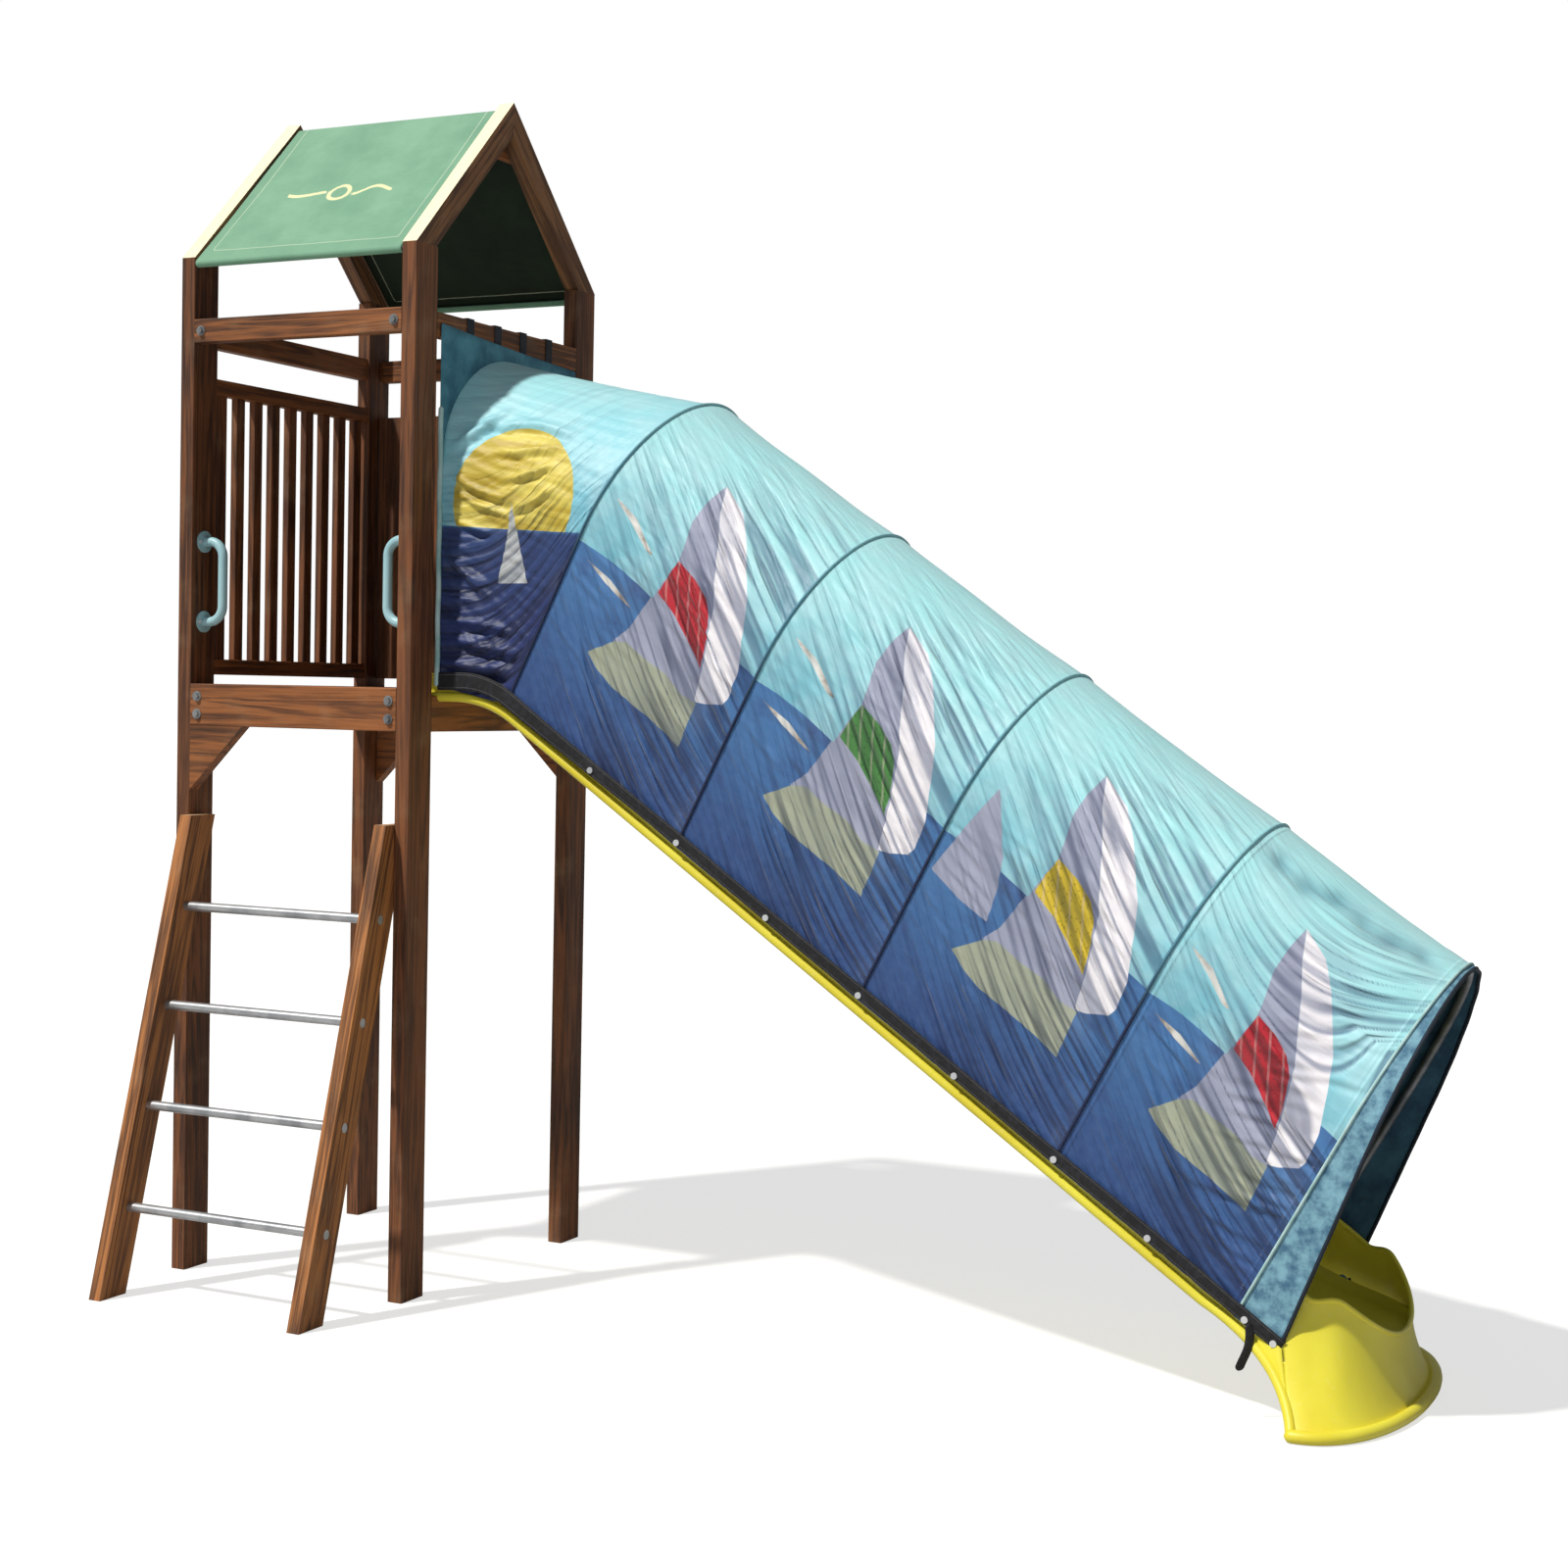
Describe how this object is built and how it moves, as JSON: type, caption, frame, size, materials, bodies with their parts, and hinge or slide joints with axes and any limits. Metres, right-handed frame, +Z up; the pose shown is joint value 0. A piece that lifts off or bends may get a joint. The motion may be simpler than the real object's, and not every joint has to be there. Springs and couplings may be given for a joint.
{
  "type": "play tower with a tunnel slide",
  "caption": "Timber play tower with a ladder and canvas roof, and a straight plastic slide under a hooped fabric tunnel.",
  "frame": {"origin": "on the ground, under the middle of the part's box", "axes": "+X down the slide, +Y from the ladder side to the back of the tower, +Z up"},
  "size_m": [3.1934, 1.21, 3.026],
  "materials": {
    "timber": "stained and weathered, satin",
    "rafter_timber": "stained, bleached along its upper edge",
    "ladder_timber": "stained, satin",
    "hoop_tube": "plain tube",
    "tunnel_fabric": "coated nylon, wrinkled, printed in panels",
    "rod_steel": "dull",
    "handle_plastic": "smooth",
    "roof_canvas": "matt canvas",
    "rung_steel": "bright",
    "bolt_steel": "zinc plated",
    "handle_screw": "capped",
    "slide_plastic": "moulded, slightly glossy",
    "webbing": "woven",
    "stud_cap": "capped"
  },
  "bodies": {
    "root": {"post_front_left": "timber", "post_front_right": "timber", "post_back_left": "timber", "post_back_right": "timber", "deck_beam_front": "timber", "deck_beam_back": "timber", "deck_beam_left": "timber", "deck_beam_right": "timber", "deck_ledger_front": "timber", "deck_ledger_back": "timber", "deck_boards": "timber", "gusset_front_left": "timber", "gusset_back_left": "timber", "gusset_back_right": "timber", "guard_rail_front": "timber", "guard_rail_back": "timber", "guard_rail_left": "timber", "guard_rail_right": "timber", "fence_top_rail": "timber", "fence_bottom_rail": "timber", "fence_bars": "timber", "panel_top_rail": "timber", "panel_bottom_rail": "timber", "panel_boards": "timber", "rafter_front_left": "rafter_timber", "rafter_back_left": "rafter_timber", "rafter_front_right": "rafter_timber", "rafter_back_right": "rafter_timber", "gable_tie_left": "timber", "gable_tie_right": "timber", "ridge_pole": "timber", "eave_rod_front": "rod_steel", "eave_rod_back": "rod_steel", "roof_canvas": "roof_canvas", "ladder_rail_left": "ladder_timber", "ladder_rail_right": "ladder_timber", "ladder_rungs": "rung_steel", "grab_handle_left": "handle_plastic", "grab_handle_right": "handle_plastic", "handle_screws": "handle_screw", "frame_bolts": "bolt_steel", "slide_chute": "slide_plastic", "hoop_1": "hoop_tube", "hoop_2": "hoop_tube", "hoop_3": "hoop_tube", "hoop_4": "hoop_tube", "hoop_5": "hoop_tube", "cover_entry": "tunnel_fabric", "cover_bay_1": "tunnel_fabric", "cover_bay_2": "tunnel_fabric", "cover_bay_3": "tunnel_fabric", "cover_bay_4": "tunnel_fabric", "cover_end": "tunnel_fabric", "hem_band_near": "webbing", "hem_band_far": "webbing", "hem_studs": "stud_cap", "top_straps": "webbing"}
  },
  "joints": []
}
